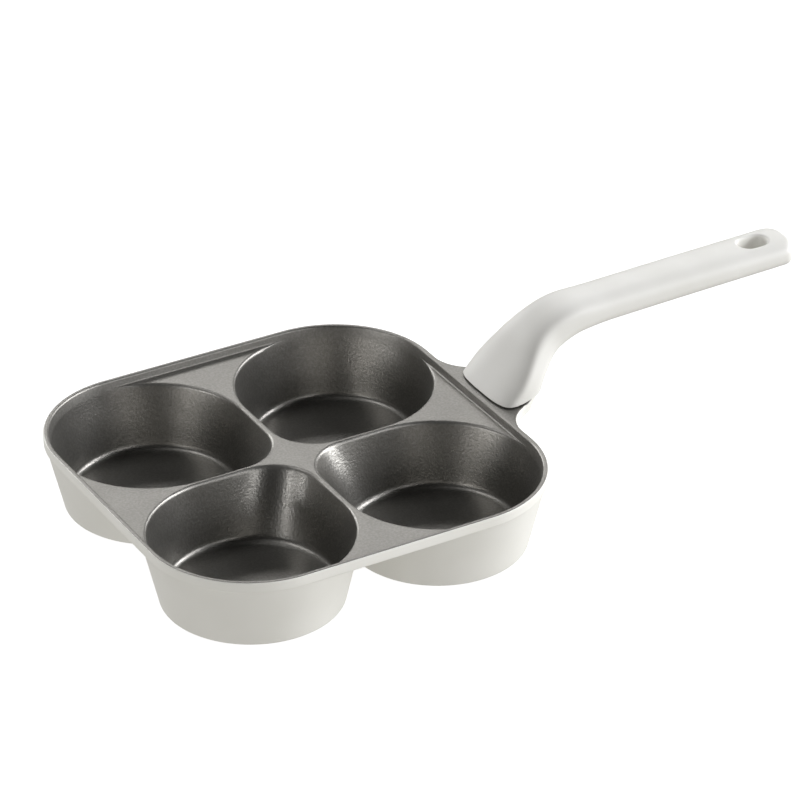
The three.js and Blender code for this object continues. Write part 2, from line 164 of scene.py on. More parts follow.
# %% [markdown]
# Colours are written as the sRGB values that a paint chart gives, and one function turns them to the
# linear light that the shaders work in. One more function adds a node, with its settings and its links.
# A noise texture hardly leaves the middle of its range, so colours and roughness are spread over that
# part of it.

# %% Helpers for materials
NOISE_LOW, NOISE_HIGH = 0.3, 0.7


def linear(hex_colour):
    """sRGB hex to linear RGBA: c / 12.92 below 0.04045, else ((c + 0.055) / 1.055) to the power 2.4."""
    value = np.array([int(hex_colour[i:i + 2], 16) for i in (1, 3, 5)]) / 255
    light = np.where(value <= 0.04045, value / 12.92, ((value + 0.055) / 1.055) ** 2.4)
    return (*light.tolist(), 1.0)


def add_node(tree, kind, settings=(), links=()):
    """Adds a node of a kind, with settings (name, value) for its sockets or properties, and with links
    (socket, output) from other nodes."""
    node = tree.nodes.new(kind)
    for name, value in settings:
        if isinstance(name, str) and name not in node.inputs:
            setattr(node, name, value)
        else:
            node.inputs[name].default_value = value
    for name, output in links:
        tree.links.new(output, node.inputs[name])
    return node


def new_material(name):
    """An empty node material, with its tree and its output node."""
    material = bpy.data.materials.new(name)
    material.use_nodes = True
    material.node_tree.nodes.clear()
    output = add_node(material.node_tree, "ShaderNodeOutputMaterial")
    return material, material.node_tree, output


def per_metre(size_mm):
    """Texture scale that makes a feature about size_mm wide on Object coordinates in metres."""
    return 1000.0 / size_mm


# %% [markdown]
# The inside is a sprayed PTFE non-stick coat with metal flake, baked on blasted aluminium. It gives the
# eye a dark grey, satin sheen: flat parts mirror the bright room and look mid grey, walls mirror each
# other and go nearly black, and highlights break up into fine sparkle. The flake makes it behave like a
# dull metal.
#
# The gun sprays from above, so the coat lies thick and dull on the floors, the web and the rim, and thin
# and glossier on the steep walls. A mask painted by hand could tell them apart, but the height does it
# too: flats lie far from the middle of the wall's height. The real grit is about a tenth of a
# millimetre, too fine to show at this distance, so it is drawn about ten times coarser.

# %% Non-stick coat
GRIT_MM = 1.1
GRIT_DEPTH_MM = 0.3
MOTTLE_MM = 14.0
WALL_MIDDLE_MM = 17.6
FLAT_FROM_MM, FLAT_TO_MM = 13.0, 15.0
WALL_ROUGHNESS, FLAT_ROUGHNESS = 0.27, 0.37
WALL_GRAIN, FLAT_GRAIN = 0.3, 0.1
coat, tree, output = new_material("ptfe_nonstick_sprayed")
place = add_node(tree, "ShaderNodeTexCoord")
grit = add_node(
    tree, "ShaderNodeTexNoise",
    [("Scale", per_metre(GRIT_MM)), ("Detail", 1.0), ("Roughness", 0.6)],
    [("Vector", place.outputs["Object"])],
)
mottle = add_node(
    tree, "ShaderNodeTexNoise",
    [("Scale", per_metre(MOTTLE_MM)), ("Detail", 3.0)],
    [("Vector", place.outputs["Object"])],
)
tint = add_node(tree, "ShaderNodeValToRGB", (), [("Fac", grit.outputs["Fac"])])
tint.color_ramp.elements[0].position = 0.35
tint.color_ramp.elements[0].color = linear("#868480")
tint.color_ramp.elements[1].position = 0.70
tint.color_ramp.elements[1].color = linear("#92908c")
at = add_node(tree, "ShaderNodeSeparateXYZ", (), [(0, place.outputs["Object"])])
above_middle = add_node(
    tree, "ShaderNodeMath",
    [("operation", "SUBTRACT"), (1, WALL_MIDDLE_MM * MM)],
    [(0, at.outputs["Z"])],
)
from_middle = add_node(
    tree, "ShaderNodeMath",
    [("operation", "ABSOLUTE")],
    [(0, above_middle.outputs["Value"])],
)
on_flat = add_node(
    tree, "ShaderNodeMapRange",
    [("interpolation_type", "SMOOTHSTEP"), ("From Min", FLAT_FROM_MM * MM), ("From Max", FLAT_TO_MM * MM)],
    [("Value", from_middle.outputs["Value"])],
)
smooth = add_node(
    tree, "ShaderNodeMapRange",
    [("To Min", WALL_ROUGHNESS), ("To Max", FLAT_ROUGHNESS)],
    [("Value", on_flat.outputs["Result"])],
)
gloss = add_node(
    tree, "ShaderNodeMath",
    [("operation", "MULTIPLY_ADD"), (1, 0.08)],
    [(0, mottle.outputs["Fac"]), (2, smooth.outputs["Result"])],
)
grain = add_node(
    tree, "ShaderNodeMapRange",
    [("To Min", WALL_GRAIN), ("To Max", FLAT_GRAIN)],
    [("Value", on_flat.outputs["Result"])],
)
relief = add_node(
    tree, "ShaderNodeBump",
    [("Distance", GRIT_DEPTH_MM * MM)],
    [("Height", grit.outputs["Fac"]), ("Strength", grain.outputs["Result"])],
)
skin = add_node(
    tree, "ShaderNodeBsdfPrincipled",
    [("Metallic", 0.86)],
    [
        ("Base Color", tint.outputs["Color"]),
        ("Roughness", gloss.outputs["Value"]),
        ("Normal", relief.outputs["Normal"]),
    ],
)
tree.links.new(skin.outputs["BSDF"], output.inputs["Surface"])
print("made", coat.name)

# %% [markdown]
# The outside is a baked ivory lacquer, sprayed over the casting. It gives the eye a soft white with a
# slightly warm shade, a satin gloss and a faint orange peel, the ripple that a sprayed film dries with.
# The ripple could be modelled, but it is far too shallow to show on an edge, so a bump is enough.

# %% Ivory lacquer
PEEL_MM = 2.2
PEEL_DEPTH_MM = 0.2
LACQUER_CLOUD_MM = 30.0


def ivory_finish(name, grain_mm, depth_mm, relief_share, cloud_mm, colours, roughness, ior):
    """An ivory film: a fine noise gives its gloss and its relief, and a wide one clouds its colour."""
    material, tree, output = new_material(name)
    place = add_node(tree, "ShaderNodeTexCoord")
    fine = add_node(
        tree, "ShaderNodeTexNoise",
        [("Scale", per_metre(grain_mm)), ("Detail", 2.0)],
        [("Vector", place.outputs["Object"])],
    )
    cloud = add_node(
        tree, "ShaderNodeTexNoise",
        [("Scale", per_metre(cloud_mm)), ("Detail", 2.0)],
        [("Vector", place.outputs["Object"])],
    )
    tint = add_node(tree, "ShaderNodeValToRGB", (), [("Fac", cloud.outputs["Fac"])])
    for element, position, colour in zip(tint.color_ramp.elements, (NOISE_LOW, NOISE_HIGH), colours):
        element.position = position
        element.color = linear(colour)
    gloss = add_node(
        tree, "ShaderNodeMapRange",
        [
            ("From Min", NOISE_LOW), ("From Max", NOISE_HIGH),
            ("To Min", roughness[0]), ("To Max", roughness[1]),
        ],
        [("Value", fine.outputs["Fac"])],
    )
    relief = add_node(
        tree, "ShaderNodeBump",
        [("Strength", relief_share), ("Distance", depth_mm * MM)],
        [("Height", fine.outputs["Fac"])],
    )
    skin = add_node(
        tree, "ShaderNodeBsdfPrincipled",
        [("IOR", ior)],
        [
            ("Base Color", tint.outputs["Color"]),
            ("Roughness", gloss.outputs["Result"]),
            ("Normal", relief.outputs["Normal"]),
        ],
    )
    tree.links.new(skin.outputs["BSDF"], output.inputs["Surface"])
    return material


lacquer = ivory_finish(
    "ivory_lacquer_baked", PEEL_MM, PEEL_DEPTH_MM, 0.08, LACQUER_CLOUD_MM,
    colours=("#ebeae4", "#f0efea"), roughness=(0.36, 0.42), ior=1.5,
)
print("made", lacquer.name)

# %% [markdown]
# The pan is one casting. Its four quarters are mirror images, so one quarter is worked out and turned
# into four. Rays run out from the middle of a cup: along each ray the skin is a profile, from the cup's
# floor up its wall, over the rounded mouth, along the web, up the step and over the rim. This keeps grid
# lines along the mouth and the rim, which a heightfield on a square grid would cut into steps.
#
# A ray ends on the rim's outer side, or on the seam with the next quarter.

# %% Outlines of the pan
MOUTH_HALF = 45.4
MOUTH_MID = 46.6
TIP_RADIUS = 22.0
STEP_FOOT = 3.0
STEP_TOP = 2.2
RIM_ROUND = 0.8
LUG_FILLET = 18.4
LUG_NECK = 20.1
LUG_WIDE = LUG_NECK + LUG_FILLET
LUG_JOIN = 20.75
LUG_SHOULDER = 13.55
LUG_REACH = 23.2
LUG_BLUNTNESS = 6
# smallest share of a direction that a ray's length is divided by, and a guard against dividing by nought
LEAST_SHARE = 1e-3
TINY = 1e-9


def rim_reach(turn, depth):
    """Length of a ray from the mouth's middle to the rim's outline, moved in by depth: the corner's circle
    where the ray points outwards, and a straight side elsewhere."""
    c, s = np.cos(turn), np.sin(turn)
    shift = (MOUTH_MID - CUP_MID) * (c + s)
    radius = HALF - CUP_MID - depth
    corner = -shift + np.sqrt(shift ** 2 - 2 * (MOUTH_MID - CUP_MID) ** 2 + radius ** 2)
    side = (HALF - depth - MOUTH_MID) / np.maximum(np.maximum(c, s), LEAST_SHARE)
    return np.where((c >= 0) & (s >= 0), corner, side)


def seam_reach(turn):
    """Length of a ray from the mouth's middle to the seam with the next quarter, x = 0 or y = 0."""
    return MOUTH_MID / np.maximum(np.maximum(-np.cos(turn), -np.sin(turn)), LEAST_SHARE)


def mouth_reach(turn):
    """Length of a ray to the cup's mouth: a circle, drawn out to a rounded corner towards the pan's
    middle."""
    c, s = -np.cos(turn), -np.sin(turn)
    large = np.maximum(np.maximum(c, s), TINY)
    q = MOUTH_HALF - TIP_RADIUS
    rounded = q * (c + s) + np.sqrt(np.maximum((q * (c + s)) ** 2 - 2 * q * q + TIP_RADIUS ** 2, 0))
    straight = MOUTH_HALF * np.minimum(c, s) / large <= q
    tip = np.where(straight, MOUTH_HALF / large, rounded)
    mouth = np.where((c > 0) & (s > 0), tip, MOUTH_HALF)
    return np.minimum(mouth, rim_reach(turn, STEP_FOOT))


def lug_outline(y, depth=0.0):
    """How far the lug reaches in x at a distance y from the handle's line, moved in by depth: a hollow arc
    that leaves the rim's side, then a blunt end that follows the handle's foot."""
    away = np.abs(y)
    hollow = np.sqrt(np.maximum((LUG_FILLET + depth) ** 2 - (LUG_WIDE - away) ** 2, 0))
    arc = HALF + LUG_FILLET - hollow
    blunt = (LUG_REACH - LUG_SHOULDER) * (away / LUG_JOIN) ** LUG_BLUNTNESS
    end = HALF + LUG_REACH - blunt - depth
    return np.where(away >= LUG_WIDE, HALF - depth, np.where(away >= LUG_JOIN, arc, end))


def lug_depth(x, y):
    """Distance of a point inside the lug to the lug's outline: to the hollow arc or to the blunt end."""
    arc = np.hypot(HALF + LUG_FILLET - x, LUG_WIDE - np.abs(y)) - LUG_FILLET
    arc = np.where(x < HALF + LUG_FILLET, arc, np.inf)
    return np.maximum(np.minimum(arc, lug_outline(y) - x), 0)


# %% [markdown]
# Even rays are enough for a round cup, but they would cut off the corners where the rim's edges meet the
# seam and where the lug leaves the rim. Finer rays everywhere would cost many faces, so rays are added
# only there: one through each point of the step and the rounded edge on the seam, and one for each line
# of the lug.

# %% Rays of a quarter
ROUND_STEPS = 136
ARC_DEGREES = 6
SAME_REACH = 1e-4
sweep = np.radians(np.arange(0, 91, ARC_DEGREES))
lug_arc_y = np.maximum(LUG_WIDE - LUG_FILLET * np.sin(sweep), LUG_JOIN)
lug_end_share = np.array([1.0, 0.99, 0.98, 0.96, 0.93, 0.9, 0.85, 0.8, 0.72, 0.6, 0.5, 0.35, 0.2, 0.0])
lug_end_y = LUG_JOIN * lug_end_share
edge_depths = np.array([
    4.0, 3.5, 3.2, 3.0, 2.9, 2.75, 2.5, 2.35, 2.2,
    2.0, 1.75, 1.2, 0.8, 0.5, 0.25, 0.1, 0.0,
])
to_seam = np.arctan2(HALF - edge_depths - MOUTH_MID, -MOUTH_MID)
to_lug = np.arctan2(np.concatenate([lug_arc_y, lug_end_y]) - MOUTH_MID, HALF - MOUTH_MID)
half_turns = np.concatenate([to_seam, math.pi / 2 - to_lug])
even = np.arange(ROUND_STEPS) * 2 * math.pi / ROUND_STEPS
turns = np.concatenate([even, half_turns, math.pi / 2 - half_turns]) % (2 * math.pi)
turns = np.unique(np.round(turns, 7))
turns = np.append(turns, turns[0] + 2 * math.pi)
rim = rim_reach(turns, 0.0)
seam = seam_reach(turns)
mouth = mouth_reach(turns)
on_rim = rim <= seam + SAME_REACH
print(f"{len(turns) - 1} rays a quarter, {int(on_rim.sum())} of them end on the rim")

# %% [markdown]
# A profile point is (middle, reach, height): the point lies on the ray at that reach from a middle that
# moves from the floor's circle to the mouth's. Straight stretches and rounded corners are then the same
# two functions for every ray at once: a straight run, and a quadratic curve with its control point in
# the corner. True arcs would need their centres; on edges this small the difference doesn't show.

# %% Profile of the top skin
RIM_TOP = 36.5
STEP_DEPTH = 3.7
WEB_TOP = RIM_TOP - STEP_DEPTH
FLOOR = 2.4
FLOOR_RADIUS = 38.7
FLOOR_FILLET = 3.2
MOUTH_ROUND = 1.2
MOUTH_DROP = 1.3
FOOT_ROUND = 0.7
STEP_ROUND = 0.9
FLOOR_STEPS = 4
WALL_STEPS = 6
WEB_STEPS = 3
ROUND_EDGE_STEPS = 7
SMALL_EDGE_STEPS = 5


def profile_point(middle, reach, height):
    """One profile point for every ray."""
    return np.stack(np.broadcast_arrays(middle, reach, height + 0.0 * turns), -1)


def straight_run(a, b, steps):
    """Points from a to b in even steps, both ends included."""
    t = np.linspace(0, 1, steps + 1)[None, :, None]
    return a[:, None] * (1 - t) + b[:, None] * t


def rounded_corner(a, corner, b, steps):
    """Quadratic curve from a to b that leaves and arrives along the lines to the corner."""
    t = np.linspace(0, 1, steps + 1)[None, :, None]
    return a[:, None] * (1 - t) ** 2 + corner[:, None] * 2 * t * (1 - t) + b[:, None] * t ** 2


def stop_at_seam(rows):
    """A profile that runs past the seam stays on it, at the height where it crosses."""
    reach, height = rows[..., 1], rows[..., 2]
    past = reach > seam[:, None] + TINY
    inside_first = not past[:, 0].any()
    order = np.arange(rows.shape[1]) if inside_first else np.arange(rows.shape[1])[::-1]
    ray = np.arange(len(rows))
    flags = past[:, order]
    here = np.where(flags.any(1), flags.argmax(1), rows.shape[1] - 1)
    before = np.maximum(here - 1, 0)
    here, before = order[here], order[before]
    gap = reach[ray, here] - reach[ray, before]
    gap = np.where(np.abs(gap) < TINY, 1.0, gap)
    share = np.clip((seam - reach[ray, before]) / gap, 0, 1)
    crossing = height[ray, before] + share * (height[ray, here] - height[ray, before])
    rows[..., 1] = np.where(past, seam[:, None], reach)
    rows[..., 2] = np.where(past, crossing[:, None], height)
    return rows


def cup_wall(low_reach, high_reach, low, high, height):
    """Profile point on a cup wall: a straight line from a circle round the cup's middle to the mouth."""
    share = (height - low) / (high - low)
    middle = CUP_MID + (MOUTH_MID - CUP_MID) * share
    return profile_point(middle, low_reach + (high_reach - low_reach) * share, height)


def inner_wall(height):
    """The cup's inner wall at a height."""
    return cup_wall(FLOOR_RADIUS, mouth, FLOOR, WEB_TOP, height)


foot = rim_reach(turns, STEP_FOOT)
step_top = rim_reach(turns, STEP_TOP)
room = (foot - mouth) / 2
mouth_round = np.minimum(MOUTH_ROUND, room)
foot_round = np.minimum(FOOT_ROUND, room)
foot_end = foot + (step_top - foot) * foot_round / STEP_DEPTH
climb = STEP_ROUND / STEP_DEPTH

cup_rows = np.concatenate([
    straight_run(
        profile_point(CUP_MID, 0.0, FLOOR),
        profile_point(CUP_MID, FLOOR_RADIUS - FLOOR_FILLET, FLOOR), FLOOR_STEPS,
    ),
    rounded_corner(
        profile_point(CUP_MID, FLOOR_RADIUS - FLOOR_FILLET, FLOOR),
        profile_point(CUP_MID, FLOOR_RADIUS, FLOOR),
        inner_wall(FLOOR + FLOOR_FILLET), ROUND_EDGE_STEPS,
    )[:, 1:],
    straight_run(
        inner_wall(FLOOR + FLOOR_FILLET),
        inner_wall(WEB_TOP - MOUTH_DROP * mouth_round), WALL_STEPS,
    )[:, 1:-1],
], 1)
web_rows = np.concatenate([
    rounded_corner(
        inner_wall(WEB_TOP - MOUTH_DROP * mouth_round),
        profile_point(MOUTH_MID, mouth, WEB_TOP),
        profile_point(MOUTH_MID, mouth + mouth_round, WEB_TOP), ROUND_EDGE_STEPS,
    ),
    straight_run(
        profile_point(MOUTH_MID, mouth + mouth_round, WEB_TOP),
        profile_point(MOUTH_MID, foot - foot_round, WEB_TOP), WEB_STEPS,
    )[:, 1:-1],
    rounded_corner(
        profile_point(MOUTH_MID, foot - foot_round, WEB_TOP),
        profile_point(MOUTH_MID, foot, WEB_TOP),
        profile_point(MOUTH_MID, foot_end, WEB_TOP + foot_round), SMALL_EDGE_STEPS,
    ),
    rounded_corner(
        profile_point(MOUTH_MID, step_top + (foot - step_top) * climb, RIM_TOP - STEP_ROUND),
        profile_point(MOUTH_MID, step_top, RIM_TOP),
        profile_point(MOUTH_MID, rim_reach(turns, STEP_TOP - STEP_ROUND), RIM_TOP), SMALL_EDGE_STEPS,
    ),
], 1)
print(f"{cup_rows.shape[1] + web_rows.shape[1]} profile points from the cup's middle to the rim's top")

# %% [markdown]
# The rim's outer edge is rounded, and the rounding follows the lug where the handle is carried: there
# the top runs on level. A bevel on the finished mesh would need clean corners there, so the drop of the
# edge is worked out from the distance to the outline of pan and lug together. The dark coat ends part
# way over this edge, where the spray mask lay. Under the band, the skin goes in to the web and down the
# cups' outer walls.

# %% Rim edge, band and underside
BAND = 5.3
BAND_LOW = RIM_TOP - BAND
WEB_LOW = 30.0
WALL = 2.5
BASE_RADIUS = 40.7
BASE_EDGE = 1.2
RECESS_RADIUS = 33.3
RECESS_DEPTH = 0.85
LEDGE_TOP_DEPTH = 1.5
LEDGE_LOW_DEPTH = 2.6
OUTER_STEPS = 7
EDGE_STEPS = 8
COAT_EDGE = 3
NEARLY = 1e-3

quarter = np.radians(np.linspace(0, 90, EDGE_STEPS + 1))
edge_in = RIM_ROUND * (1 - np.sin(quarter))
COAT_DEPTH = edge_in[COAT_EDGE]


def edge_drop(depth):
    """How far a rounded edge lies below the flat at a depth from the outline: a quarter circle."""
    short = np.clip(RIM_ROUND - depth, 0, RIM_ROUND)
    return RIM_ROUND - np.sqrt(RIM_ROUND ** 2 - short ** 2)


def rows_by_depth(depths, heights):
    """Profile points at depths from the rim's side."""
    reach = np.stack([rim_reach(turns, depth) for depth in depths], 1)
    return np.stack(np.broadcast_arrays(MOUTH_MID, reach, heights), -1).copy()


def outer_wall(height):
    """The cup's outer wall at a height."""
    return cup_wall(BASE_RADIUS, mouth + WALL, 0.0, WEB_TOP, height)


end_y = MOUTH_MID + rim * np.sin(turns)
faces_lug = on_rim & (np.cos(turns) > 0.5) & (end_y < LUG_WIDE + NEARLY)
past_rim = np.where(faces_lug, lug_depth(HALF + 0.0 * end_y, end_y), 0.0)


def rim_skin(with_lug):
    """Rows over the rim's rounded top edge and rows under the band, level where the lug joins."""
    more = past_rim[:, None] if with_lug else 0.0 * past_rim[:, None]
    drop = edge_drop(edge_in[None, :] + more)
    over = rows_by_depth(edge_in, RIM_TOP - drop)
    under = rows_by_depth(edge_in[::-1], BAND_LOW + drop[:, ::-1])
    return over, under


def under_rows(under):
    """Rows from under the band to the cup's base: web, outer wall, rounded base and the disc's recess."""
    ledge = []
    for depth, height in ((LEDGE_TOP_DEPTH, BAND_LOW), (LEDGE_LOW_DEPTH, WEB_LOW)):
        reach = np.maximum(rim_reach(turns, depth), outer_wall(height)[:, 1])
        ledge.append(profile_point(MOUTH_MID, reach, height)[:, None])
    base = profile_point(CUP_MID, BASE_RADIUS, 0.0)
    inner = profile_point(CUP_MID, BASE_RADIUS - BASE_EDGE, 0.0)
    recess = profile_point(CUP_MID, RECESS_RADIUS, 0.0)
    roof = profile_point(CUP_MID, RECESS_RADIUS, RECESS_DEPTH)
    outside = stop_at_seam(np.concatenate([
        under, *ledge, straight_run(outer_wall(WEB_LOW), outer_wall(BASE_EDGE), OUTER_STEPS),
    ], 1))
    return np.concatenate([
        outside,
        rounded_corner(outer_wall(BASE_EDGE), base, inner, SMALL_EDGE_STEPS)[:, 1:],
        recess[:, None], roof[:, None],
        profile_point(CUP_MID, 0.0, RECESS_DEPTH)[:, None],
    ], 1)


def quarter_grid(rows, sign_x, sign_y):
    """Profile rows of a quarter to points: the middle plus reach times the ray's direction, mirrored by
    the signs."""
    x = rows[..., 0] + rows[..., 1] * np.cos(turns)[:, None]
    y = rows[..., 0] + rows[..., 1] * np.sin(turns)[:, None]
    return np.stack([sign_x * x, sign_y * y, rows[..., 2]], -1)


# %% [markdown]
# The lug is a tongue of the casting. It leaves the rim in two hollow arcs, and its top runs out level
# and then ramps up to the seat of the handle's foot. Below, its end leans back under the foot. A block
# joined by a Boolean would break the rounded edge and the border of the coat, so the lug is a sheet of
# lines instead: they start at the ends of the rim's own rays and run out to the outline.

# %% Lug that carries the handle
SEAT_BEND = HALF + 9.8
SEAT_SLOPE = math.tan(math.radians(14.0))
SEAT_SOFT = 1.5
LUG_LEAN = 4.3
LEAN_BLUNTNESS = 4
LUG_TOP_STEPS = 10
LUG_EDGE_STEPS = 6
LUG_LOW_STEPS = 14
lug_rays = np.flatnonzero(faces_lug)
lug_rays = lug_rays[np.argsort(end_y[lug_rays])]
lug_y = end_y[lug_rays]
lug_y = np.concatenate([-lug_y[::-1], lug_y])[:, None]


def seat_height(x):
    """Height of the seat under the handle's foot: level with the rim, then a ramp, with a soft bend."""
    t = np.clip((x - SEAT_BEND + SEAT_SOFT) / (2 * SEAT_SOFT), 0, 1)
    past_bend = np.where(x > SEAT_BEND + SEAT_SOFT, x - SEAT_BEND, SEAT_SOFT * t * t)
    return RIM_TOP + SEAT_SLOPE * past_bend


def lug_sheet(start, end, steps, lean, side, base):
    """Part of the lug's top or underside from x = start to x = end, in steps that get closer towards the
    end. Its edge is rounded to that side; lean is how far the outline is drawn in there."""
    share = 1 - np.linspace(1, 0, steps + 1)[None, :] ** 3
    x = start + (end - start) * share
    y = lug_y + 0.0 * x
    drop = edge_drop(lug_depth(x + lean, y))
    return np.stack([x, y, seat_height(x) + base - side * drop], -1)


lug_rim = lug_outline(lug_y)
lug_coat = np.maximum(lug_outline(lug_y, COAT_DEPTH), HALF)
lean = LUG_LEAN * np.clip(1 - (np.abs(lug_y) / LUG_JOIN) ** LEAN_BLUNTNESS, 0, 1)
lug_top = lug_sheet(HALF, lug_coat, LUG_TOP_STEPS, 0.0, 1.0, 0.0)
lug_edge = lug_sheet(lug_coat, lug_rim, LUG_EDGE_STEPS, 0.0, 1.0, 0.0)
lug_low = lug_sheet(HALF, lug_rim - lean, LUG_LOW_STEPS, lean, -1.0, -BAND)
lug_side = np.stack([lug_edge[:, -1], lug_low[:, -1]], 1)
print(f"lug: {len(lug_y)} lines across, reaching {lug_rim.max() - HALF:.1f} mm from the rim")

# %% [markdown]
# The casting is one piece with two finishes. Each patch is either coated or lacquered, so the border
# between the two is a line of the mesh: it runs round the rim's edge and, where the lug joins, on along
# the lug's. A mask in one shared material could draw it too, but would blur or step at this scale.

# %% Pan casting
COAT, LACQUER = 0, 1


def runs(flags):
    """Splits the gaps between neighbouring rays into runs of equal flags: each is a flag and ray numbers."""
    parts = np.split(np.arange(len(flags)), np.flatnonzero(np.diff(flags.astype(int))) + 1)
    return [(flags[part[0]], np.append(part, part[-1] + 1)) for part in parts]


pan_patches = [(lug_top, COAT), (lug_edge, LACQUER), (lug_low, LACQUER), (lug_side, LACQUER)]
for sign_x in (-1, 1):
    with_lug = sign_x > 0
    over, under = rim_skin(with_lug)
    coat_rows = stop_at_seam(np.concatenate([web_rows, over], 1))
    split = web_rows.shape[1] + COAT_EDGE
    wet = np.concatenate([cup_rows, coat_rows[:, :split + 1]], 1)
    dry = coat_rows[:, split:]
    below = under_rows(under)
    banded = on_rim & ~(faces_lug & (end_y < LUG_WIDE - NEARLY) & with_lug)
    coated = (past_rim >= COAT_DEPTH) & with_lug
    for sign_y in (-1, 1):
        grids = [quarter_grid(rows, sign_x, sign_y) for rows in (wet, dry, below)]
        wet_grid, dry_grid, below_grid = grids
        pan_patches += [(wet_grid, COAT), (below_grid, LACQUER)]
        for on_lug, rays in runs(coated[:-1] & coated[1:]):
            pan_patches.append((dry_grid[rays], COAT if on_lug else LACQUER))
        for has_band, rays in runs(banded[:-1] & banded[1:]):
            if has_band:
                band = np.stack([dry_grid[rays, -1], below_grid[rays, 0]], 1)
                pan_patches.append((band, LACQUER))
pan = make_piece("egg_pan_casting", pan_patches, [coat, lacquer], "pan_casting")

# %% [markdown]
# The handle is one moulding. It could be a curve with a bevel object, but that has one section for the
# whole length. So a section shaped like a rounded rectangle is carried along a line that rises from the
# rim, bends over and runs out nearly level, and its width, thickness and squareness change smoothly
# between four stations. Below, close to the seam, the foot flares out to a small heel that covers the
# end of the lug.

# %% Line and section of the handle
RISE_ANGLE = math.radians(47.6)
GRIP_ANGLE = math.radians(1.6)
RISE_LENGTH = 23.0
BEND_RADIUS = 37.5
BEND_LENGTH = BEND_RADIUS * (RISE_ANGLE - GRIP_ANGLE)
GRIP_LENGTH = 115.0
HANDLE_LENGTH = RISE_LENGTH + BEND_LENGTH + GRIP_LENGTH
LINE_START = HALF + 7.4
FOOT_STATION = 6.0
GRIP_STATION = 15.0
STATIONS = np.array([
    FOOT_STATION,
    RISE_LENGTH + BEND_LENGTH / 2,
    RISE_LENGTH + BEND_LENGTH + GRIP_STATION,
    HANDLE_LENGTH,
])
HALF_WIDTH = np.array([20.7, 12.6, 12.0, 12.9])
OVER = np.array([5.6, 7.6, 7.6, 6.18])
UNDER = np.array([10.0, 8.7, 6.7, 6.3])
GRIP_POWER = 2.7
SQUARENESS = np.array([3.2, 3.4, GRIP_POWER, GRIP_POWER])
HEEL = 3.4
HEEL_END = 22.0
HEEL_LENGTH = 12.0


def handle_line(length):
    """Point and angle of the centre line at a length: a straight rise, an arc, and a straight grip."""
    along = np.minimum(length, RISE_LENGTH)
    angle = RISE_ANGLE - np.clip(length - RISE_LENGTH, 0, BEND_LENGTH) / BEND_RADIUS
    level = np.maximum(0, length - RISE_LENGTH - BEND_LENGTH)
    x = LINE_START + along * math.cos(RISE_ANGLE) + level * math.cos(GRIP_ANGLE)
    z = RIM_TOP + along * math.sin(RISE_ANGLE) + level * math.sin(GRIP_ANGLE)
    x = x + BEND_RADIUS * (math.sin(RISE_ANGLE) - np.sin(angle))
    z = z + BEND_RADIUS * (np.cos(angle) - math.cos(RISE_ANGLE))
    return x, z, angle


def between_stations(values, length):
    """Smooth curve through the stations: cubic pieces that start level at the foot and never overshoot."""
    steps = np.diff(STATIONS)
    rise = np.diff(values) / steps
    product = rise[:-1] * rise[1:]
    total = np.where(product > 0, rise[:-1] + rise[1:], 1.0)
    slope = np.concatenate([[0.0], np.where(product > 0, 2 * product / total, 0.0), rise[-1:]])
    length = np.maximum(length, STATIONS[0])
    i = np.clip(np.searchsorted(STATIONS, length, side="right") - 1, 0, len(steps) - 1)
    t = (length - STATIONS[i]) / steps[i]
    start = values[i] * (1 + 2 * t) * (1 - t) ** 2 + slope[i] * steps[i] * t * (1 - t) ** 2
    return start + values[i + 1] * t * t * (3 - 2 * t) - slope[i + 1] * steps[i] * t * t * (1 - t)


def handle_skin(length, turn, inset=0.0, share=1.0):
    """Point of the handle's skin: the superellipse |y / width|^n + |z / thickness|^n = 1, square to the
    centre line, moved in by inset and shrunk by share. The heel thickens the underside of the foot."""
    x, z, angle = handle_line(length)
    power = 2 / between_stations(SQUARENESS, length)
    c, s = np.cos(turn), np.sin(turn)
    heel = HEEL * np.clip((HEEL_END - length) / HEEL_LENGTH, 0, 1) ** 2
    thick = np.where(s > 0, between_stations(OVER, length), between_stations(UNDER, length) + heel)
    y = share * (between_stations(HALF_WIDTH, length) - inset) * np.sign(c) * np.abs(c) ** power
    out = share * (thick - inset) * np.sign(s) * np.abs(s) ** power
    return np.stack([x - np.sin(angle) * out, y, z + np.cos(angle) * out], -1)


# %% [markdown]
# The foot is not cut square: it sits on the ramp of the seat, one seam height above it. A Boolean cut
# would leave odd triangles along this edge, which the eye sees well. So each line along the handle
# starts where it meets the ramp. That length has no simple formula, and is found by halving a range. A
# few rows then close the foot from its middle outwards and round its edge.

# %% Foot, bend and grip
SEAM = 0.65
FOOT_EDGE = 0.6
FOOT_EDGE_STEPS = 5
FOOT_SHARES = (0.0, 0.4, 0.8)
SEARCH_LOW, SEARCH_HIGH = -30.0, 40.0
HALVINGS = 44
SECTION_STEPS = 112
SWEEP_STEPS = 72
END_PATCH = 34.0

section = 2 * math.pi * np.arange(SECTION_STEPS + 1) / SECTION_STEPS


def foot_start(inset, share):
    """Length at which each line of the skin comes out of the seam, found by halving a range."""
    low = np.full(section.shape, SEARCH_LOW)
    high = np.full(section.shape, SEARCH_HIGH)
    for _ in range(HALVINGS):
        middle = (low + high) / 2
        point = handle_skin(middle, section, inset, share)
        above = point[:, 2] > seat_height(point[:, 0]) + SEAM
        high = np.where(above, middle, high)
        low = np.where(above, low, middle)
    return high


